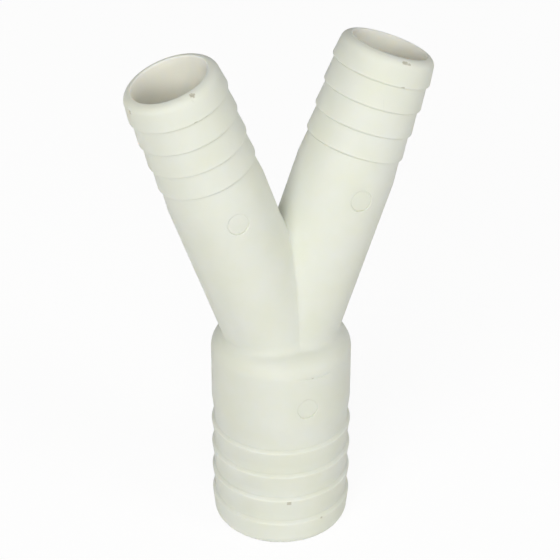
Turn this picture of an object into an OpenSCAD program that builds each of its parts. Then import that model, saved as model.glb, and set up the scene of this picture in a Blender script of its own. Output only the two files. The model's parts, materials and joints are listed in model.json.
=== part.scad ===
// Barbed Y connector for flexible hose, moulded in one piece.
// One large leg points down and two smaller arms spread upward.
// It stands on the rim of the large leg, with the arms in the XZ plane.
// Every tube has four ring barbs and a rounded tip.

/* [Large leg] */
// Outer radius of the plain part of the large leg
leg_r = 19.5; // [19.2:0.1:21]
// Radius at the sharp edge of each barb on the large leg
leg_barb_r = 19.7; // [19.3:0.1:21]
// Radius at the bottom of the groove behind each barb
leg_groove_r = 18.8; // [18:0.05:19.2]
// Radius of the large leg where its rounded tip begins
leg_tip_r = 19.2; // [18.6:0.1:19.4]
// Radius of the bore through the large leg
leg_bore_r = 15.6; // [14:0.1:16.5]
// Width of the flat rim the connector stands on
leg_rim_flat = 0.4; // [0.3:0.1:1.2]
// Height of the first barb edge above the rim
leg_first_barb = 8.15; // [6.5:0.05:8.5]
// Distance from one barb edge to the next
leg_pitch = 8.05; // [6:0.05:8.5]
// Height of the sloping ledge behind each barb
leg_ledge = 0.75; // [0.4:0.05:1.6]
// Length over which the last groove rises to the plain tube
leg_fade = 7.4; // [4:0.1:10]
// Number of barbs on the large leg
leg_barbs = 4; // [2:1:4]

/* [Shoulder] */
// Height where the plain leg ends and the shoulder begins
shoulder_z = 55.9; // [54:0.1:60]
// Radius of the rounded shoulder
shoulder_round = 5.8; // [4:0.1:6]
// Radius of each half of the low step around the arm roots
root_step_r = 14.1; // [13.8:0.1:14.6]
// Sideways distance of each half of that step from the middle
root_step_out = 2.4; // [1.5:0.1:2.8]
// Height of the step above the shoulder
root_step_h = 0.7; // [0.3:0.1:1.5]
// Radius of the rounding at the inner end of the large bore
bore_end_round = 6.3; // [4:0.1:6.6]
// Wall above the inner end of the large bore
bore_end_wall = 2.9; // [2.6:0.1:4]

/* [Small arms] */
// Sideways distance from the middle to the centre of each arm tip
arm_tip_out = 30.5; // [27:0.1:40]
// Height from the crossing of the arm axes to the centre of each tip
arm_tip_rise = 85.5; // [82:0.1:110]
// Depth of that crossing below the plain end of the large leg
arm_cross_drop = 0.2; // [0:0.1:2]
// Outer radius of the plain part of each arm
arm_r = 13.5; // [13.3:0.1:13.7]
// Radius at the sharp edge of each arm barb
arm_barb_r = 13.5; // [13.3:0.05:14.2]
// Radius at the bottom of the groove behind each arm barb
arm_groove_r = 12.8; // [12.3:0.05:13.1]
// Radius of each arm where its rounded tip begins
arm_tip_r = 12.9; // [12.4:0.1:13.1]
// Radius of the bore through each arm
arm_bore_r = 10.2; // [8.5:0.1:10.6]
// Width of the flat rim at each arm tip
arm_rim_flat = 0.2; // [0.2:0.1:1]
// Distance from the tip to the first barb edge
arm_first_barb = 6.9; // [6:0.05:8]
// Distance from one barb edge to the next
arm_pitch = 7.05; // [5.5:0.05:7.5]
// Length of the sloping ledge behind each arm barb
arm_ledge = 0.4; // [0.3:0.05:1.8]
// Length over which the last groove rises to the plain arm
arm_fade = 6.9; // [4:0.1:8]
// Number of barbs on each arm
arm_barbs = 4; // [2:1:4]

/* [Ejector pin marks] */
// Radius of the round ejector pin marks on the front
mark_r = 3; // [2:0.05:3.5]
// Depth of each mark at its edge
mark_depth = 0.16; // [0.1:0.02:0.4]
// Height of the mark on the large leg
leg_mark_z = 46.4; // [46:0.1:50]
// Distance of each arm mark from the crossing point
arm_mark_s = 51.3; // [45:0.1:51.5]

/* [Hidden] */
$fn = 96;
slack = 1;
overlap = 2;
leg_len = shoulder_z + shoulder_round;
bore_end_z = leg_len - bore_end_wall;
arm_cross_z = shoulder_z - arm_cross_drop;
arm_len = sqrt(arm_tip_out * arm_tip_out + arm_tip_rise * arm_tip_rise);
arm_lean = atan2(arm_tip_out, arm_tip_rise);
leg_tip_round = leg_tip_r - leg_bore_r - leg_rim_flat;
arm_tip_round = arm_tip_r - arm_bore_r - arm_rim_flat;
plastic = [0.93, 0.93, 0.89];

// Half section of a tube with ring barbs, its tip on the line y = 0.
// The section is solid to the axis; the bore is cut later.
module barbed_section(len, r, barb_r, groove_r, tip_r, tip_round, first, pitch, ledge, fade, count) {
    last = first + (count - 1) * pitch + ledge;
    teeth = [for (k = [0 : count - 1], j = [0, 1])
        j == 0 ? [barb_r, first + k * pitch] : [groove_r, first + k * pitch + ledge]];
    difference() {
        polygon(concat(
            [[0, 0], [tip_r, 0], [tip_r, tip_round]],
            teeth,
            [[r, last + fade], [r, len], [0, len]]
        ));
        difference() {
            translate([tip_r - tip_round, -slack])
                square([tip_round + slack, tip_round + slack]);
            translate([tip_r - tip_round, tip_round])
                circle(r = tip_round);
        }
    }
}

// Large leg with its rounded shoulder on top.
module leg_outside() {
    rotate_extrude()
        difference() {
            barbed_section(leg_len, leg_r, leg_barb_r, leg_groove_r, leg_tip_r, leg_tip_round,
                leg_first_barb, leg_pitch, leg_ledge, leg_fade, leg_barbs);
            difference() {
                translate([leg_r - shoulder_round, shoulder_z])
                    square([shoulder_round + slack, shoulder_round + slack]);
                translate([leg_r - shoulder_round, shoulder_z])
                    circle(r = shoulder_round);
            }
        }
}

// Moves its children from arm axes to the real place of one arm.
module at_arm(side) {
    translate([0, 0, arm_cross_z])
        rotate([0, side * arm_lean, 0])
            children();
}

module arm_outside(side) {
    at_arm(side)
        translate([0, 0, arm_len])
            rotate([180, 0, 0])
                rotate_extrude()
                    barbed_section(arm_len, arm_r, arm_barb_r, arm_groove_r, arm_tip_r, arm_tip_round,
                        arm_first_barb, arm_pitch, arm_ledge, arm_fade, arm_barbs);
}

// Low step the arms grow out of, sunk into the shoulder below it.
module root_step() {
    for (side = [-1, 1])
        translate([side * root_step_out, 0, leg_len - overlap])
            cylinder(r = root_step_r, h = overlap + root_step_h);
}

// Bore of the large leg, closed by a rounded end.
module leg_bore() {
    rotate_extrude()
        difference() {
            translate([0, -slack])
                square([leg_bore_r, bore_end_z + slack]);
            difference() {
                translate([leg_bore_r - bore_end_round, bore_end_z - bore_end_round])
                    square([bore_end_round + slack, bore_end_round + slack]);
                translate([leg_bore_r - bore_end_round, bore_end_z - bore_end_round])
                    circle(r = bore_end_round);
            }
        }
}

module arm_bore(side) {
    at_arm(side)
        cylinder(r = arm_bore_r, h = arm_len + slack);
}

// Flat round mark sunk into the front of a tube of radius tube_r.
module pin_mark(tube_r) {
    floor_y = sqrt(tube_r * tube_r - mark_r * mark_r) - mark_depth;
    translate([0, -floor_y, 0])
        rotate([90, 0, 0])
            cylinder(r = mark_r, h = overlap);
}

module connector() {
    color(plastic)
        difference() {
            union() {
                leg_outside();
                root_step();
                arm_outside(-1);
                arm_outside(1);
            }
            leg_bore();
            arm_bore(-1);
            arm_bore(1);
            translate([0, 0, leg_mark_z])
                pin_mark(leg_r);
            at_arm(-1)
                translate([0, 0, arm_mark_s])
                    pin_mark(arm_r);
            at_arm(1)
                translate([0, 0, arm_mark_s])
                    pin_mark(arm_r);
        }
}

connector();
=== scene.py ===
"""Barbed hose Y connector, moulded in one piece, with its stage."""

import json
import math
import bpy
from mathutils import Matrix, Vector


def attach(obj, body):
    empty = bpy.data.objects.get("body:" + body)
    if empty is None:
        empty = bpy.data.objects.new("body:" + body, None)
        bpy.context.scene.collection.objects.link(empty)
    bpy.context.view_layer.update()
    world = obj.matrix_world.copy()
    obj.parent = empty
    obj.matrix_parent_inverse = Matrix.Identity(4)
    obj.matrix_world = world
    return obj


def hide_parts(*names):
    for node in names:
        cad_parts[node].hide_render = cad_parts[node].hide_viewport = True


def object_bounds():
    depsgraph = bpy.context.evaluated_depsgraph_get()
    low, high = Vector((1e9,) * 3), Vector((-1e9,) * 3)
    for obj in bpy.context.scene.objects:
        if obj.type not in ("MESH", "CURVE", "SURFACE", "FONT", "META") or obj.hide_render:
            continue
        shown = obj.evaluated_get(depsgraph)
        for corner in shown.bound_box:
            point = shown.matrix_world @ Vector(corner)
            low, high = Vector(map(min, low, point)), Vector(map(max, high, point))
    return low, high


bl_info = {
    "name": "Barbed hose Y connector",
    "version": (1, 0, 0),
    "blender": (4, 5, 0),
    "location": "3D View > Sidebar > Y connector",
    "description": "Builds a moulded Y connector for hose on its packed frame, with a plain studio stage",
    "category": "Object",
}

from collections import namedtuple
from types import SimpleNamespace

import bmesh
import bpy
import numpy as np
from mathutils import Matrix, Vector

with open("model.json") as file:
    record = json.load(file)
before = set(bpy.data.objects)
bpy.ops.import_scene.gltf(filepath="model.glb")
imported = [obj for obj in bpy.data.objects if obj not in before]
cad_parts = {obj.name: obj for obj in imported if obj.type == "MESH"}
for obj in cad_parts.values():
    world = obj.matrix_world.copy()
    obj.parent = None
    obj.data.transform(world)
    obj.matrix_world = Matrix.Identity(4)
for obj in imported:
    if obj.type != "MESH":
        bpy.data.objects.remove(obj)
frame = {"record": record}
MM = 0.001
NODE = "connector"
CAD_BOX = [list(corner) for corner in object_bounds()]
MOUNTS = {mount["name"]: mount for mount in frame["record"]["mounts"]}
UP = np.array([0.0, 0.0, 1.0])


def linear(colour):
    """Linear RGB of an sRGB hex colour."""
    values = [int(colour[start:start + 2], 16) / 255.0 for start in (1, 3, 5)]
    return tuple(v / 12.92 if v <= 0.04045 else ((v + 0.055) / 1.055) ** 2.4 for v in values)


# ---------------------------------------------------------------- settings

def size_prop(name, description, default_mm, lowest_mm=0.0):
    """A length, shown in the scene's unit and kept in metres."""
    return bpy.props.FloatProperty(
        name=name, description=description, default=default_mm * MM, min=lowest_mm * MM,
        unit="LENGTH", precision=5)


def angle_prop(name, description, default_degrees):
    """An angle, shown in degrees."""
    return bpy.props.FloatProperty(
        name=name, description=description, default=math.radians(default_degrees), subtype="ANGLE")


def colour_prop(name, description, default):
    """A colour whose default is an sRGB hex value."""
    return bpy.props.FloatVectorProperty(
        name=name, description=description, default=linear(default), size=3, min=0.0, max=1.0,
        subtype="COLOR")


def share_prop(name, description, default):
    """A plain number from 0 to 1."""
    return bpy.props.FloatProperty(name=name, description=description, default=default, min=0.0, max=1.0)


class HoseConnectorSizes(bpy.types.PropertyGroup):
    """Sizes of the moulded body."""

    leg_radius: size_prop("Leg radius", "Plain outside radius of the large leg", 19.5)
    leg_groove: size_prop("Leg groove radius", "Radius behind each barb of the large leg", 18.8)
    leg_tip: size_prop("Leg tip radius", "Radius where the rounded tip of the large leg begins", 19.2)
    leg_rim: size_prop("Leg rim", "Flat width of the rim that the connector stands on", 0.4)
    leg_first: size_prop("First leg barb", "Height of the first barb edge above the rim", 8.15)
    leg_pitch: size_prop("Leg pitch", "Distance between the barbs of the large leg", 8.05)
    leg_ledge: size_prop("Leg ledge", "Height of the ledge behind each barb", 0.75)
    leg_fade: size_prop("Leg fade", "Length from the last groove to the plain leg", 7.4)
    shoulder_height: size_prop("Shoulder height", "Height where the rounded shoulder begins", 55.9)
    shoulder_round: size_prop("Shoulder rounding", "Radius of the rounded shoulder", 5.8)
    step_radius: size_prop("Step radius", "Radius of each half of the step at the arms' roots", 14.2)
    step_height: size_prop("Step height", "Height of that step above the shoulder", 0.5)
    flare_height: size_prop("Flare height", "Height over which the arms widen onto the step", 3.2)
    bore_end_round: size_prop("Bore end rounding", "Rounding at the inner end of the large bore", 6.3)
    bore_end_wall: size_prop("Bore end wall", "Wall above the inner end of the large bore", 2.9)
    arm_radius: size_prop("Arm radius", "Plain outside radius of each arm", 13.5)
    arm_groove: size_prop("Arm groove radius", "Radius behind each arm barb", 12.8)
    arm_tip: size_prop("Arm tip radius", "Radius where the rounded arm tip begins", 12.9)
    arm_rim: size_prop("Arm rim", "Flat width of the rim at each arm tip", 0.2)
    arm_first: size_prop("First arm barb", "Distance from an arm's tip to its first barb edge", 6.9)
    arm_pitch: size_prop("Arm pitch", "Distance between the barbs of an arm", 7.05)
    arm_ledge: size_prop("Arm ledge", "Length of the ledge behind each arm barb", 0.4)
    arm_fade: size_prop("Arm fade", "Length from the last groove to the plain arm", 6.9)
    arm_lip: size_prop("Arm lip", "Rounding inside each arm's mouth", 0.5)
    leg_lip: size_prop("Leg lip", "Rounding inside the mouth of the large leg", 0.3)
    mark_radius: size_prop("Mark radius", "Radius of the ejector pin marks", 3.1)
    mark_depth: size_prop("Mark depth", "Depth of each mark at its shallowest edge", 0.08)
    rim_groove: size_prop("Rim groove", "Depth of the fine groove at each mark's rim", 0.14)
    leg_mark: size_prop("Leg mark height", "Height of the mark on the large leg", 46.4)
    arm_mark: size_prop("Arm mark distance", "Distance of each arm's mark from its tip", 39.5)
    edge_soft: size_prop("Edge softness", "Rounding that the mould leaves on each barb edge", 0.35)
    crease_fillet: size_prop("Crease fillet", "Radius in the crease between the two arms", 0.9)
    root_fillet: size_prop("Root fillet", "Radius where the arms and their step meet the shoulder", 1.3)
    barbs: bpy.props.IntProperty(name="Barbs", description="Barbs on each tube", default=4, min=1, max=6)


class HoseConnectorLooks(bpy.types.PropertyGroup):
    """Colours, light and view."""

    nylon: colour_prop("Nylon", "Natural nylon against the eroded cavity", "#E6E8DF")
    nylon_warm: colour_prop("Nylon, warm patches", "Slightly yellower nylon", "#E4E6D8")
    # Painted light: a paler colour on the bores' walls stands in for light inside the mouths.
    bore_painted_light: colour_prop("Nylon, bores", "Nylon on the bores' walls, painted paler as painted light", "#F4F3E8")
    # Partly dust and partly painted shade: the darker colour of the pits' faces.
    dust: colour_prop("Dust", "Dust caught in small pits", "#CBC9B9")
    floor: colour_prop("Floor", "Plain pale floor", "#FBFBF9")
    roughness: share_prop("Roughness", "Roughness of the moulded surface", 0.58)
    azimuth: angle_prop("Azimuth", "The camera's turn about the upright axis", -21.984)
    elevation: angle_prop("Elevation", "The camera's angle above the horizon", 30.056)
    roll: angle_prop("Roll", "The camera's turn about its own axis", 0.116)
    distance: size_prop("Distance", "The camera's distance from the point that it looks at", 503.565)
    look_height: size_prop("Look height", "Height of the point that the camera looks at", 76.722)
    look_side: size_prop("Look side", "That point's distance to the right of the leg's axis", -0.34, -100.0)
    lens: bpy.props.FloatProperty(name="Lens", description="Focal length in mm", default=118.66, min=1.0)


def in_mm(settings):
    """The sizes of a property group as plain numbers in millimetres."""
    values = {}
    for key, prop in settings.bl_rna.properties.items():
        if prop.type == "FLOAT":
            values[key] = getattr(settings, key) / MM
        elif prop.type == "INT":
            values[key] = getattr(settings, key)
    return SimpleNamespace(**values)


# ---------------------------------------------------------------- turned solids

ARC_TURN = math.radians(12.0)  # most that one chord of a rounding turns
ARC_CHORD = 0.5  # longest chord of a rounding, in mm


def rounded(corners):
    """Points of a section given as corners (radius, height, rounding), each rounding drawn as an arc."""
    points = []
    for index, (radius, height, rounding) in enumerate(corners):
        corner = np.array([radius, height])
        if rounding <= 0.0 or index in (0, len(corners) - 1):
            points.append(corner)
            continue
        before = np.array(corners[index - 1][:2]) - corner
        after = np.array(corners[index + 1][:2]) - corner
        before /= np.linalg.norm(before)
        after /= np.linalg.norm(after)
        half = 0.5 * math.acos(float(np.clip(before @ after, -1.0, 1.0)))
        middle = (before + after) / np.linalg.norm(before + after)
        centre = corner + middle * rounding / math.sin(half)
        start = corner + before * rounding / math.tan(half) - centre
        end = corner + after * rounding / math.tan(half) - centre
        turn = math.atan2(start[0] * end[1] - start[1] * end[0], start @ end)
        steps = max(2, math.ceil(abs(turn) / ARC_TURN), math.ceil(abs(turn) * rounding / ARC_CHORD))
        for angle in (turn * step / steps for step in range(steps + 1)):
            cos, sin = math.cos(angle), math.sin(angle)
            points.append(centre + [start[0] * cos - start[1] * sin, start[0] * sin + start[1] * cos])
    apart = [np.linalg.norm(end - start) > 1e-6 for start, end in zip(points[:-1], points[1:])]
    return points[:1] + [point for point, keep in zip(points[1:], apart) if keep]


def divided(points, length, fine_from=math.inf, fine=1.0):
    """The same section with no straight stretch longer than a length, or than a finer one above a height."""
    result = [points[0]]
    for start, end in zip(points[:-1], points[1:]):
        limit = fine if max(start[1], end[1]) > fine_from else length
        parts = max(1, math.ceil(np.linalg.norm(end - start) / limit))
        result += [start + (end - start) * part / parts for part in range(1, parts + 1)]
    return result


def standing(point, axis):
    """Matrix that stands a turned solid at a point in mm, its own height running along an axis."""
    high = Vector(axis).normalized()
    deep = Vector((0.0, 1.0, 0.0))
    side = deep.cross(high)
    turn = Matrix((side, deep, high)).transposed().to_4x4()
    return Matrix.Translation(Vector(point) * MM) @ turn


def turned(name, section, segments, place):
    """A closed solid turned from a half section in mm that starts and ends on the axis."""
    work = bmesh.new()
    angles = [2.0 * math.pi * step / segments for step in range(segments)]
    rings = []
    for radius, height in section:
        if radius < 1e-6:
            rings.append([work.verts.new(Vector((0.0, 0.0, height)) * MM)])
        else:
            rings.append([
                work.verts.new(Vector((radius * math.cos(a), radius * math.sin(a), height)) * MM)
                for a in angles])
    for low, high in zip(rings[:-1], rings[1:]):
        for step in range(segments):
            after = (step + 1) % segments
            if len(low) == 1:
                work.faces.new((low[0], high[after], high[step]))
            elif len(high) == 1:
                work.faces.new((low[step], low[after], high[0]))
            else:
                work.faces.new((low[step], low[after], high[after], high[step]))
    bmesh.ops.recalc_face_normals(work, faces=work.faces[:])
    mesh = bpy.data.meshes.new(name)
    work.to_mesh(mesh)
    work.free()
    mesh.transform(place)
    piece = bpy.data.objects.new(name, mesh)
    bpy.context.scene.collection.objects.link(piece)
    return piece


def joined(base, others, operation):
    """Adds the other solids to the base, or cuts them from it, and removes them."""
    for other in others:
        modifier = base.modifiers.new("Join", "BOOLEAN")
        modifier.operation = operation
        modifier.solver = "MANIFOLD"
        modifier.object = other
        bpy.context.view_layer.update()
        shape = bpy.data.meshes.new_from_object(base.evaluated_get(bpy.context.evaluated_depsgraph_get()))
        base.modifiers.clear()
        old = base.data
        base.data = shape
        bpy.data.meshes.remove(old)
        if not shape.polygons:
            raise RuntimeError(f"nothing is left of {base.name} after joining {other.name}")
        bpy.data.objects.remove(other, do_unlink=True)
    return base


# ---------------------------------------------------------------- the moulded body

# Faces round each turned solid.
LEG_SEGMENTS = 192
ARM_SEGMENTS = 160
MARK_SEGMENTS = 96
FLAW_SEGMENTS = 14
FLAW_RINGS = 9
STEP_RINGS = 12

# Longest straight stretches of each section in mm, short where a fillet moves the mesh.
LEG_STRETCH = 1.2
SHOULDER_STRETCH = 0.4
ARM_STRETCH = 1.1
STEP_STRETCH = 0.25
BORE_STRETCH = 4.0

BOW_PLACE = 0.3  # where a barb's face bows in, as a share of its length
LEG_BOW = 0.18  # how far the leg's faces bow in, as a share of the groove's depth
BOW_ROUND = 10.0  # rounding of that bow, in mm
FADE_ROUND = 8.0  # rounding where the last fade meets the plain tube, in mm
SHOULDER_LEAD = 1.0  # how far below the shoulder the last plain corner of the leg stands, in mm
BEYOND = 2.0  # how far cutting and joining solids run past a surface, in mm
STEP_INSET = 0.5  # how far the top of the step is sunk into its arm, in mm
MARK_ROUND = 0.05  # rounding where a mark's floor meets its groove, in mm
GROOVE_ROUND = 0.03  # rounding at the bottom of that groove, in mm
MOUTH_EASE = 0.2  # height over which a bore's cutter widens at the mouth, in mm

ON_SURFACE = 0.02  # points nearer to the bare surface than this lie on it, in mm
BENEATH = 1e-4  # least depth beneath a fillet that counts, in mm
FILLET_PASSES = 6  # steps that bring a point out onto a fillet
FLAW_SLOPE_REACH = 0.15  # height either side of a flaw over which its tube's slope is taken, in mm
PIT_PAINT_REACH = 1.1 * MM  # faces whose middle is this near in a pit's own ball of 1 mm belong to the pit
SHARP_ANGLE = math.radians(32.0)

Flaw = namedtuple("Flaw", "tube height turn length width depth tilt dusty")

# Height in mm from the tube's mouth, degrees round its axis from the front, size in mm, degrees off the
# tube's axis, and whether its faces are painted darker, partly dust and partly painted shade.
FLAWS = (
    Flaw("left_arm", 0.5, -10.0, 1.2, 1.0, 0.30, 20.0, True),
    Flaw("left_arm", 1.5, -7.0, 2.0, 0.4, 0.10, 25.0, False),
    Flaw("right_arm", 0.7, 6.0, 0.8, 1.6, 0.30, 0.0, True),
    Flaw("right_arm", 0.8, 0.0, 0.5, 0.5, 0.15, 0.0, True),
    Flaw("left_arm", 6.9, 0.0, 0.7, 0.9, 0.20, 0.0, True),
    Flaw("right_arm", 6.9, 0.0, 0.7, 0.9, 0.20, 0.0, True),
    Flaw("left_arm", 1.9, 79.0, 0.8, 0.8, 0.20, 0.0, True),
    Flaw("right_arm", 12.3, 16.0, 3.2, 0.3, 0.06, 17.0, False),
    Flaw("leg", 15.7, -15.0, 0.5, 0.8, 0.15, 15.0, True),
    Flaw("leg", 7.9, 14.0, 0.6, 0.8, 0.20, 0.0, True),
    Flaw("leg", 55.9, 5.0, 0.5, 0.7, 0.25, 0.0, True),
    Flaw("leg", 56.1, -6.0, 0.5, 3.0, 0.12, 0.0, False),
    Flaw("leg", 56.0, 0.0, 0.6, 3.2, 0.20, 0.0, False),
    Flaw("leg", 55.9, 6.5, 0.7, 3.4, 0.28, 0.0, False),
    Flaw("leg", 55.9, 13.0, 0.7, 3.4, 0.26, 0.0, False),
    Flaw("leg", 56.0, 19.0, 0.5, 3.0, 0.15, 0.0, False),
)


def barbed_corners(tip, tip_round, barb, groove, first, pitch, ledge, barbs, soft, radius, fade, bow):
    """Corners of a barbed tube's half section, from the axis at its tip up to its plain part."""
    corners = [(0.0, 0.0, 0.0), (tip, 0.0, tip_round), (tip, tip_round, 0.0)]
    for count in range(barbs):
        height = first + count * pitch
        corners += [(barb, height, soft), (groove, height + ledge, soft)]
        crest, rise = (radius, fade) if count == barbs - 1 else (barb, pitch - ledge)
        if bow:
            corners.append((
                groove + (BOW_PLACE - bow) * (crest - groove), height + ledge + BOW_PLACE * rise, BOW_ROUND))
    return corners + [(radius, height + ledge + fade, FADE_ROUND)]


def leg_section(mm, bore, barb):
    """Half section of the large leg with its rounded shoulder."""
    top = mm.shoulder_height + mm.shoulder_round
    corners = barbed_corners(
        mm.leg_tip, mm.leg_tip - bore - mm.leg_rim, barb, mm.leg_groove,
        mm.leg_first, mm.leg_pitch, mm.leg_ledge, mm.barbs, mm.edge_soft,
        mm.leg_radius, mm.leg_fade, LEG_BOW)
    corners += [
        (mm.leg_radius, mm.shoulder_height - SHOULDER_LEAD, 0.0), (mm.leg_radius, top, mm.shoulder_round),
        (0.0, top, 0.0)]
    return divided(rounded(corners), LEG_STRETCH, mm.shoulder_height, SHOULDER_STRETCH)


def arm_section(mm, bore, barb, length):
    """Half section of an arm, from its tip to the crossing of the axes."""
    corners = barbed_corners(
        mm.arm_tip, mm.arm_tip - bore - mm.arm_rim, barb, mm.arm_groove,
        mm.arm_first, mm.arm_pitch, mm.arm_ledge, mm.barbs, mm.edge_soft,
        mm.arm_radius, mm.arm_fade, 0.0)
    return divided(rounded(corners + [(mm.arm_radius, length, 0.0), (0.0, length, 0.0)]), ARM_STRETCH)


def bore_section(bore, lip, length, end_round):
    """Half section of a bore that widens a little at the rim, from outside the mouth inwards."""
    corners = [
        (0.0, -BEYOND, 0.0), (bore + BEYOND, -BEYOND, 0.0), (bore + BEYOND, -MOUTH_EASE, 0.0),
        (bore, 0.0, lip), (bore, length, end_round), (0.0, length, 0.0)]
    return divided(rounded(corners), BORE_STRETCH)


def mouth(name):
    """Bore radius in mm, middle of the mouth in mm and outward direction of a bore in the record."""
    mount = MOUNTS[name]
    return float(mount["dims"]["r_mm"]), np.array(mount["pos_m"]) / MM, np.array(mount["axis"], dtype=float)


class RootShape:
    """Outer surface round the arms' roots, with its flares and fillets, as distances in mm."""

    def __init__(self, mm):
        self.mm = mm
        self.arms = [mouth(f"{side}_arm_bore")[1:] for side in ("left", "right")]
        self.step_top = mm.shoulder_height + mm.shoulder_round + mm.step_height
        tip, axis = self.arms[1]
        self.lean = axis[0] / axis[2]
        self.step_out = tip[0] - (tip[2] - self.step_top) * self.lean

    def step_at(self, height):
        """Radius of the flared step at a height above its top, in mm."""
        share = np.clip(height / self.mm.flare_height, 0.0, 1.0)
        return self.mm.step_radius - (self.mm.step_radius - self.mm.arm_radius) * (1.0 - (1.0 - share) ** 2)

    def arm(self, points, side):
        """Distance from an arm's plain tube and the direction away from its axis."""
        tip, axis = self.arms[side]
        reach = points - tip
        reach = reach - np.outer(reach @ axis, axis)
        length = np.linalg.norm(reach, axis=1)
        return length - self.mm.arm_radius, reach / length[:, None]

    def flare(self, points, side):
        """Distance from the step that an arm widens onto."""
        height = points[:, 2] - self.step_top
        middle = (self.step_out + np.maximum(height, 0.0) * self.lean) * (-1.0 if side == 0 else 1.0)
        return np.hypot(points[:, 0] - middle, points[:, 1]) - self.step_at(height)

    def shoulder(self, points):
        """Distance from the large leg with its rounded shoulder."""
        mm = self.mm
        out = np.hypot(points[:, 0], points[:, 1]) - (mm.leg_radius - mm.shoulder_round)
        up = points[:, 2] - mm.shoulder_height
        outside = np.hypot(np.maximum(out, 0.0), np.maximum(up, 0.0))
        return outside + np.minimum(np.maximum(out, up), 0.0) - mm.shoulder_round

    def gap(self, points, filled=True):
        """Distance from the whole outer surface, with or without its fillets."""
        left, left_out = self.arm(points, 0)
        right, right_out = self.arm(points, 1)
        facing = 1.0 - np.einsum("ij,ij->i", left_out, right_out)
        left = np.minimum(left, self.flare(points, 0))
        right = np.minimum(right, self.flare(points, 1))
        shoulder = self.shoulder(points)
        if not filled:
            return np.minimum(np.minimum(left, right), shoulder)
        arms = filleted(left, right, self.mm.crease_fillet * facing)
        return filleted(arms, shoulder, self.mm.root_fillet)

    def sunk(self, points):
        """Which points of the bare surface lie beneath its fillets."""
        above = points[:, 2] > self.mm.shoulder_height
        bare = np.abs(self.gap(points, filled=False)) < ON_SURFACE
        return above & bare & (self.gap(points) < -BENEATH)

    def outward(self, points):
        """Unit directions square to the filleted surface."""
        step = 0.02
        slopes = [self.gap(points + step * side) - self.gap(points - step * side) for side in np.eye(3)]
        slopes = np.stack(slopes, axis=1)
        return slopes / np.linalg.norm(slopes, axis=1)[:, None]


def filleted(one, other, width):
    """The smaller of two distances, eased where they differ by less than a width."""
    near = np.maximum(width - np.abs(one - other), 0.0)
    return np.minimum(one, other) - near * near / (4.0 * np.maximum(width, 1e-6))


def fill_creases(mesh, shape):
    """Moves the points next to the creases out onto the filleted surface."""
    points = np.array([vert.co for vert in mesh.vertices]) / MM
    inside = shape.sunk(points)
    moved = points[inside]
    for _ in range(FILLET_PASSES):
        moved = moved - shape.gap(moved)[:, None] * shape.outward(moved)
    points[inside] = moved
    mesh.vertices.foreach_set("co", (points * MM).ravel())
    mesh.update()


def arm_step(name, shape, side):
    """The step at an arm's root, whose flare leans with the arm; side is below 0 for the left arm."""
    mm = shape.mm
    sunk = -mm.step_height - BEYOND
    heights = np.linspace(0.0, mm.flare_height, STEP_RINGS)
    corners = [(0.0, sunk, 0.0), (mm.step_radius, sunk, 0.0)]
    corners += [(shape.step_at(height), height, 0.0) for height in heights]
    inner_top = mm.flare_height + STEP_INSET
    corners += [(mm.arm_radius - STEP_INSET, inner_top, 0.0), (0.0, inner_top, 0.0)]
    section = divided(rounded(corners), BORE_STRETCH, sunk, STEP_STRETCH)
    step = turned(name, section, ARM_SEGMENTS, Matrix.Identity(4))
    lean = math.copysign(shape.lean, side)
    for point in step.data.vertices:
        point.co.x += max(point.co.z, 0.0) * lean
    foot = Vector((math.copysign(shape.step_out, side), 0.0, shape.step_top)) * MM
    step.data.transform(Matrix.Translation(foot))
    return step


def connector_mesh(settings):
    """The whole moulded body as one closed mesh, on the mouths that the record gives, and its pits that are
    painted darker, partly dust and partly painted shade.
    """
    mm = in_mm(settings)
    shape = RootShape(mm)
    leg_bore, leg_mouth, _ = mouth("leg_bore")
    leg_place = standing(leg_mouth, UP)
    barb = float(MOUNTS["leg_barbs"]["dims"]["r_mm"])
    outlines = {"leg": (leg_section(mm, leg_bore, barb), leg_place)}
    body = turned("connector_body", outlines["leg"][0], LEG_SEGMENTS, leg_place)
    bore_end = mm.shoulder_height + mm.shoulder_round - mm.bore_end_wall
    leg_hole = bore_section(leg_bore, mm.leg_lip, bore_end, mm.bore_end_round)
    added = []
    cut = [
        turned("leg_bore", leg_hole, LEG_SEGMENTS, leg_place),
        pin_mark("leg_mark", mm, mm.leg_radius, standing((0.0, 0.0, mm.leg_mark), UP))]
    for side in ("left", "right"):
        bore, tip, axis = mouth(f"{side}_arm_bore")
        length = tip[0] / axis[0]
        place = standing(tip, -axis)
        barb = float(MOUNTS[f"{side}_arm_barbs"]["dims"]["r_mm"])
        outline = arm_section(mm, bore, barb, length)
        outlines[f"{side}_arm"] = (outline, place)
        added.append(turned(f"{side}_arm", outline, ARM_SEGMENTS, place))
        added.append(arm_step(f"{side}_step", shape, axis[0]))
        hole = bore_section(bore, mm.arm_lip, length, 0.0)
        cut.append(turned(f"{side}_bore", hole, ARM_SEGMENTS, place))
        cut.append(pin_mark(f"{side}_mark", mm, mm.arm_radius, standing(tip - axis * mm.arm_mark, axis)))
    angles = np.linspace(-0.5 * math.pi, 0.5 * math.pi, FLAW_RINGS)
    ball = [(math.cos(angle), math.sin(angle)) for angle in angles]
    pits = [flaw_place(flaw, *outlines[flaw.tube]) for flaw in FLAWS]
    cut += [turned(f"{flaw.tube}_flaw", ball, FLAW_SEGMENTS, pit) for flaw, pit in zip(FLAWS, pits)]
    joined(body, added, "UNION")
    fill_creases(body.data, shape)
    joined(body, cut, "DIFFERENCE")
    body.data.polygons.foreach_set("use_smooth", [True] * len(body.data.polygons))
    body.data.set_sharp_from_angle(angle=SHARP_ANGLE)
    return body, [pit for flaw, pit in zip(FLAWS, pits) if flaw.dusty]


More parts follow.
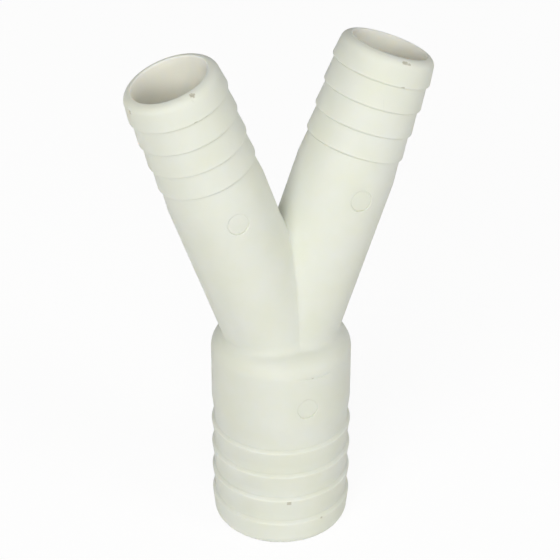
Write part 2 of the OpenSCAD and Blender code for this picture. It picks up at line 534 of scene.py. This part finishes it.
def flaw_place(flaw, section, place):
    """Matrix that lays a ball of 1 mm radius into a tube's surface as a flaw's shallow pit."""
    radii, heights = zip(*section)
    reach = FLAW_SLOPE_REACH
    low, radius, high = np.interp([flaw.height - reach, flaw.height, flaw.height + reach], heights, radii)
    along = Vector((high - low, 0.0, 2.0 * reach)).normalized()
    out = Vector((along.z, 0.0, -along.x))
    lie = Matrix((out.cross(along), out, along)).transposed().to_4x4()
    turn = Matrix.Rotation(math.radians(flaw.turn - 90.0), 4, "Z")
    tilt = Matrix.Rotation(math.radians(flaw.tilt), 4, "Y")
    size = Matrix.Diagonal((0.5 * flaw.width, flaw.depth, 0.5 * flaw.length, 1.0))
    return place @ turn @ Matrix.Translation(Vector((radius, 0.0, flaw.height)) * MM) @ lie @ tilt @ size


def paint_pit_dust_and_shade(mesh, pits):
    """Gives the faces inside the darker pits the second material: darker nylon that is partly dust and
    partly painted shade.
    """
    centres = np.empty(len(mesh.polygons) * 3)
    mesh.polygons.foreach_get("center", centres)
    centres = np.column_stack((centres.reshape(-1, 3), np.ones(len(mesh.polygons))))
    dusty = np.zeros(len(mesh.polygons), dtype=np.int32)
    for pit in pits:
        dusty |= np.linalg.norm((centres @ np.array(pit.inverted()).T)[:, :3], axis=1) < PIT_PAINT_REACH
    mesh.polygons.foreach_set("material_index", dusty)


def pin_mark(name, mm, radius, place):
    """A disc that cuts an ejector pin's flat mark, with a fine groove at its rim, into a tube's front."""
    floor = math.sqrt(radius ** 2 - mm.mark_radius ** 2) - mm.mark_depth
    deep = floor - mm.rim_groove
    rim = mm.mark_radius
    section = rounded([
        (0.0, floor, 0.0), (rim - 3.0 * mm.rim_groove, floor, MARK_ROUND),
        (rim - 2.0 * mm.rim_groove, deep, GROOVE_ROUND), (rim, deep, GROOVE_ROUND),
        (rim, floor + BEYOND, 0.0), (0.0, floor + BEYOND, 0.0)])
    front = Matrix.Rotation(math.radians(90.0), 4, "X")
    return turned(name, section, MARK_SEGMENTS, place @ front)


# ---------------------------------------------------------------- materials

PATCH_SIZE = 14.0 * MM  # patches of slightly warmer nylon
GRAIN_SIZE = 0.5 * MM  # even grain of the eroded cavity
GRAIN_DEPTH = 0.012 * MM
WAVE_SIZE = 9.0 * MM  # waves where the wall sank
WAVE_DEPTH = 0.12 * MM
ROUGHNESS_SPREAD = 0.05
NYLON_IOR = 1.53
NYLON_SCATTER = (1.5, 1.4, 1.2)  # how far red, green and blue light spread, in mm
FIBRE_SIZE = 0.6 * MM  # fibres of the paper floor
FIBRE_DEPTH = 0.02 * MM
FLOOR_WHITE = 0.92  # share of plain white that the camera sees on the floor


def add_node(tree, kind, settings=None, links=None, **values):
    """Adds a node to a tree: settings are its own attributes, values its inputs, links other nodes' outputs.

    An input is named with underscores for spaces, or as i and its number.
    """
    node = tree.nodes.new(kind)
    for key, value in (settings or {}).items():
        setattr(node, key, value)
    for key, value in values.items():
        numbered = key[0] == "i" and key[1:].isdigit()
        node.inputs[int(key[1:]) if numbered else key.replace("_", " ")].default_value = value
    for key, output in (links or {}).items():
        tree.links.new(output, node.inputs[key])
    return node


def new_material(name):
    """An empty material with its node tree and output."""
    material = bpy.data.materials.new(name)
    material.use_nodes = True
    tree = material.node_tree
    tree.nodes.clear()
    return material, tree, tree.nodes.new("ShaderNodeOutputMaterial")


def bore_painted_light_mask(tree, place):
    """Output that is 1 on the bores' walls and 0 on the outside, from the distance to the bores' axes; it
    marks where the walls are painted paler, as painted light.
    """
    bore, tip, axis = mouth("right_arm_bore")
    folded = add_node(tree, "ShaderNodeVectorMath", settings={"operation": "ABSOLUTE"}, links={0: place})
    reach = add_node(
        tree, "ShaderNodeVectorMath", settings={"operation": "SUBTRACT"}, links={0: folded.outputs[0]},
        i1=tuple(tip * MM))
    across = add_node(
        tree, "ShaderNodeVectorMath", settings={"operation": "CROSS_PRODUCT"}, links={0: reach.outputs[0]},
        i1=tuple(axis))
    away = add_node(
        tree, "ShaderNodeVectorMath", settings={"operation": "LENGTH"}, links={0: across.outputs[0]})
    inside = add_node(
        tree, "ShaderNodeMapRange", links={"Value": away.outputs["Value"]},
        From_Min=(bore + 0.4) * MM, From_Max=(bore + 0.05) * MM)
    return inside.outputs["Result"]


def moulded_nylon(name, plain, warm, looks):
    """Natural nylon 6, injection moulded in a spark-eroded cavity, in two close colours, with the bores'
    walls painted paler as painted light.

    It is an off-white, slightly yellow-green plastic with a satin surface: soft wide highlights, a fine
    even grain from the cavity and faint waves where the wall sank as it cooled.
    """
    material, tree, output = new_material(name)
    place = add_node(tree, "ShaderNodeTexCoord").outputs["Object"]
    patches = add_node(
        tree, "ShaderNodeTexNoise", links={"Vector": place},
        Scale=1.0 / PATCH_SIZE, Detail=3.0, Roughness=0.55)
    tone = add_node(
        tree, "ShaderNodeMapRange", links={"Value": patches.outputs["Fac"]}, From_Min=0.35, From_Max=0.65)
    colour = add_node(
        tree, "ShaderNodeMix", settings={"data_type": "RGBA"}, links={"Factor": tone.outputs["Result"]},
        i6=(*plain, 1.0), i7=(*warm, 1.0))
    # Painted light: the bores' walls are painted paler so that the mouths read brighter inside.
    inside = bore_painted_light_mask(tree, place)
    colour = add_node(
        tree, "ShaderNodeMix", settings={"data_type": "RGBA"},
        links={"Factor": inside, 6: colour.outputs["Result"]}, i7=(*looks.bore_painted_light, 1.0))
    grain = add_node(
        tree, "ShaderNodeTexNoise", links={"Vector": place},
        Scale=1.0 / GRAIN_SIZE, Detail=2.0, Roughness=0.6)
    waves = add_node(
        tree, "ShaderNodeTexNoise", links={"Vector": place},
        Scale=1.0 / WAVE_SIZE, Detail=1.0, Roughness=0.5)
    rough = add_node(
        tree, "ShaderNodeMapRange", links={"Value": grain.outputs["Fac"]},
        To_Min=looks.roughness - ROUGHNESS_SPREAD, To_Max=looks.roughness + ROUGHNESS_SPREAD)
    sunk = add_node(
        tree, "ShaderNodeBump", links={"Height": waves.outputs["Fac"]}, Strength=1.0, Distance=WAVE_DEPTH)
    bump = add_node(
        tree, "ShaderNodeBump", links={"Height": grain.outputs["Fac"], "Normal": sunk.outputs["Normal"]},
        Strength=1.0, Distance=GRAIN_DEPTH)
    shader = add_node(
        tree, "ShaderNodeBsdfPrincipled",
        links={
            "Base Color": colour.outputs["Result"], "Roughness": rough.outputs["Result"],
            "Normal": bump.outputs["Normal"]},
        IOR=NYLON_IOR, Subsurface_Weight=1.0, Subsurface_Scale=1.0 * MM, Subsurface_Radius=NYLON_SCATTER)
    tree.links.new(shader.outputs["BSDF"], output.inputs["Surface"])
    return material


def studio_floor(looks):
    """Matt white paper: nearly plain white to the camera, and plain diffuse paper to all other rays."""
    material, tree, output = new_material("Matt white paper")
    place = add_node(tree, "ShaderNodeTexCoord").outputs["Object"]
    fibre = add_node(
        tree, "ShaderNodeTexNoise", links={"Vector": place},
        Scale=1.0 / FIBRE_SIZE, Detail=2.0, Roughness=0.6)
    bump = add_node(
        tree, "ShaderNodeBump", links={"Height": fibre.outputs["Fac"]}, Strength=0.2, Distance=FIBRE_DEPTH)
    paper = add_node(
        tree, "ShaderNodeBsdfDiffuse", links={"Normal": bump.outputs["Normal"]},
        Color=(*looks.floor, 1.0), Roughness=0.9)
    white = add_node(tree, "ShaderNodeEmission", Color=(1.0, 1.0, 1.0, 1.0), Strength=1.0)
    path = add_node(tree, "ShaderNodeLightPath")
    seen = add_node(
        tree, "ShaderNodeMath", settings={"operation": "MULTIPLY"}, links={0: path.outputs["Is Camera Ray"]},
        i1=FLOOR_WHITE)
    surface = add_node(
        tree, "ShaderNodeMixShader", links={0: seen.outputs[0], 1: paper.outputs[0], 2: white.outputs[0]})
    tree.links.new(surface.outputs[0], output.inputs["Surface"])
    return material


# ---------------------------------------------------------------- stage

FLOOR_HALF = 3.0  # half the floor's side, in m
LAMP_DISTANCE = 1.4  # from the middle of the connector, in m
SURROUND = 0.18  # strength of the even light from all round

Lamp = namedtuple("Lamp", "name azimuth elevation size power")

# Degrees round the connector from the front and above its middle, side in m, power in W.
LAMPS = (
    Lamp("left_lamp", -48.0, 20.0, 0.7, 7.6),
    Lamp("right_lamp", 34.0, 20.0, 0.5, 4.7),
    Lamp("front_lamp", -22.0, 24.0, 0.6, 4.1),
    Lamp("top_lamp", -20.0, 60.0, 0.6, 1.9),
    Lamp("back_right_lamp", 130.0, 45.0, 0.8, 1.7),
    Lamp("back_left_lamp", -130.0, 20.0, 0.8, 1.2),
)


def studio_world(strength):
    """Even light from all round, and white behind everything."""
    world = bpy.data.worlds.new("White studio")
    world.use_nodes = True
    tree = world.node_tree
    tree.nodes.clear()
    path = add_node(tree, "ShaderNodeLightPath")
    seen = add_node(
        tree, "ShaderNodeMath", settings={"operation": "MAXIMUM"},
        links={0: path.outputs["Is Camera Ray"], 1: path.outputs["Is Transmission Ray"]})
    around = add_node(tree, "ShaderNodeBackground", Color=(1.0, 1.0, 1.0, 1.0), Strength=strength)
    white = add_node(tree, "ShaderNodeBackground", Color=(1.0, 1.0, 1.0, 1.0), Strength=1.0)
    both = add_node(
        tree, "ShaderNodeMixShader", links={0: seen.outputs[0], 1: around.outputs[0], 2: white.outputs[0]})
    output = add_node(tree, "ShaderNodeOutputWorld", links={"Surface": both.outputs[0]})
    output.is_active_output = True
    bpy.context.scene.world = world


def direction(azimuth, elevation):
    """Unit vector towards an azimuth, which is 0 in front, and an elevation, both in radians."""
    level = math.cos(elevation)
    return Vector((math.sin(azimuth) * level, -math.cos(azimuth) * level, math.sin(elevation)))


def soft_lamp(lamp, target):
    """A square area lamp that faces a point."""
    light = bpy.data.lights.new(lamp.name, "AREA")
    light.shape = "SQUARE"
    light.size = lamp.size
    light.energy = lamp.power
    holder = bpy.data.objects.new(lamp.name, light)
    bpy.context.scene.collection.objects.link(holder)
    back = direction(math.radians(lamp.azimuth), math.radians(lamp.elevation))
    holder.location = target + back * LAMP_DISTANCE
    holder.rotation_mode = "QUATERNION"
    holder.rotation_quaternion = back.to_track_quat("Z", "Y")


def studio_camera(looks):
    """A long lens that looks down a little onto the connector from its front left."""
    camera = bpy.data.cameras.new("Camera")
    camera.sensor_width = 36.0
    camera.lens = looks.lens
    camera.clip_start = 0.01
    camera.clip_end = 20.0
    holder = bpy.data.objects.new("Camera", camera)
    bpy.context.scene.collection.objects.link(holder)
    back = direction(looks.azimuth, looks.elevation)
    holder.location = Vector((looks.look_side, 0.0, looks.look_height)) + back * looks.distance
    right = Vector((math.cos(looks.azimuth), math.sin(looks.azimuth), 0.0))
    up = back.cross(right)
    across = right * math.cos(looks.roll) + up * math.sin(looks.roll)
    high = up * math.cos(looks.roll) - right * math.sin(looks.roll)
    holder.rotation_mode = "QUATERNION"
    holder.rotation_quaternion = Matrix((across, high, back)).transposed().to_quaternion()
    bpy.context.scene.camera = holder


# ---------------------------------------------------------------- operators and panel

class OBJECT_OT_hose_connector_body(bpy.types.Operator):
    """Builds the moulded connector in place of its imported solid."""

    bl_idname = "object.hose_connector_body"
    bl_label = "Add moulded connector"

    def execute(self, context):
        looks = context.scene.hose_connector_looks
        body, pits = connector_mesh(context.scene.hose_connector_sizes)
        body.data.materials.clear()
        # The second material darkens the pits' faces: partly dust and partly painted shade.
        for name, plain, warm in (
                ("Moulded natural nylon", looks.nylon, looks.nylon_warm),
                ("Moulded natural nylon with dust and painted shade", looks.dust, looks.dust)):
            body.data.materials.append(moulded_nylon(name, plain, warm, looks))
        paint_pit_dust_and_shade(body.data, pits)
        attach(body, "root")
        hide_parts(NODE)
        return {"FINISHED"}


class OBJECT_OT_hose_connector_stage(bpy.types.Operator):
    """Adds the floor, the lamps, the surroundings and the camera."""

    bl_idname = "object.hose_connector_stage"
    bl_label = "Add studio stage"

    def execute(self, context):
        looks = context.scene.hose_connector_looks
        mesh = bpy.data.meshes.new("studio_floor")
        half = FLOOR_HALF
        corners = [(-half, -half, 0), (half, -half, 0), (half, half, 0), (-half, half, 0)]
        mesh.from_pydata(corners, [], [(0, 1, 2, 3)])
        floor = bpy.data.objects.new("studio_floor", mesh)
        context.scene.collection.objects.link(floor)
        floor.data.materials.append(studio_floor(looks))
        middle = Vector((0.0, 0.0, 0.5 * (CAD_BOX[0][2] + CAD_BOX[1][2])))
        for lamp in LAMPS:
            soft_lamp(lamp, middle)
        studio_world(SURROUND)
        studio_camera(looks)
        context.scene.view_settings.view_transform = "Standard"
        return {"FINISHED"}


class VIEW3D_PT_hose_connector(bpy.types.Panel):
    """Lists the connector's sizes, looks and pieces in the sidebar."""

    bl_label = "Y connector"
    bl_space_type = "VIEW_3D"
    bl_region_type = "UI"
    bl_category = "Y connector"

    def draw(self, context):
        scene = context.scene
        groups = {"Sizes": scene.hose_connector_sizes, "Looks": scene.hose_connector_looks}
        for title, settings in groups.items():
            box = self.layout.box()
            box.label(text=title)
            for key in settings.__class__.__annotations__:
                box.prop(settings, key)
        self.layout.operator(OBJECT_OT_hose_connector_body.bl_idname)
        self.layout.operator(OBJECT_OT_hose_connector_stage.bl_idname)


CLASSES = (
    HoseConnectorSizes, HoseConnectorLooks, OBJECT_OT_hose_connector_body, OBJECT_OT_hose_connector_stage,
    VIEW3D_PT_hose_connector)


def register():
    for cls in CLASSES:
        bpy.utils.register_class(cls)
    bpy.types.Scene.hose_connector_sizes = bpy.props.PointerProperty(type=HoseConnectorSizes)
    bpy.types.Scene.hose_connector_looks = bpy.props.PointerProperty(type=HoseConnectorLooks)


def unregister():
    del bpy.types.Scene.hose_connector_looks
    del bpy.types.Scene.hose_connector_sizes
    for cls in reversed(CLASSES):
        bpy.utils.unregister_class(cls)


def main():
    register()
    bpy.ops.object.hose_connector_body()
    bpy.ops.object.hose_connector_stage()


if __name__ == "__main__":
    main()
